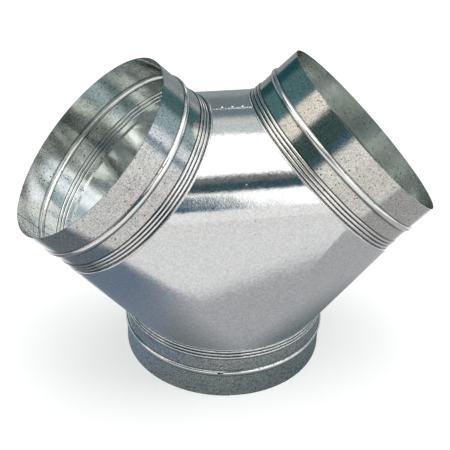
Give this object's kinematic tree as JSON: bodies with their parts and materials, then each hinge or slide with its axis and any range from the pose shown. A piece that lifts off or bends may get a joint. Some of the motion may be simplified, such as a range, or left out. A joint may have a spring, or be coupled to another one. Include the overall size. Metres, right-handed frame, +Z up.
{
  "type": "duct coupler",
  "caption": "Wye coupler of galvanised sheet that joins round ventilation ducts: a tapered lapped body with a beaded slip-on collar on each branch.",
  "frame": {"origin": "centre of the bottom rim, on the surface that the part stands on", "axes": "+Z up along the bottom branch; the flat front faces -Y; the upper branches lean to -X and +X"},
  "size_m": [0.4094, 0.2076, 0.3105],
  "materials": {
    "galvanised_sheet": "satin"
  },
  "bodies": {
    "root": {"front_shell": "galvanised_sheet", "rear_shell": "galvanised_sheet", "left_collar": "galvanised_sheet", "right_collar": "galvanised_sheet", "bottom_collar": "galvanised_sheet"}
  },
  "joints": []
}
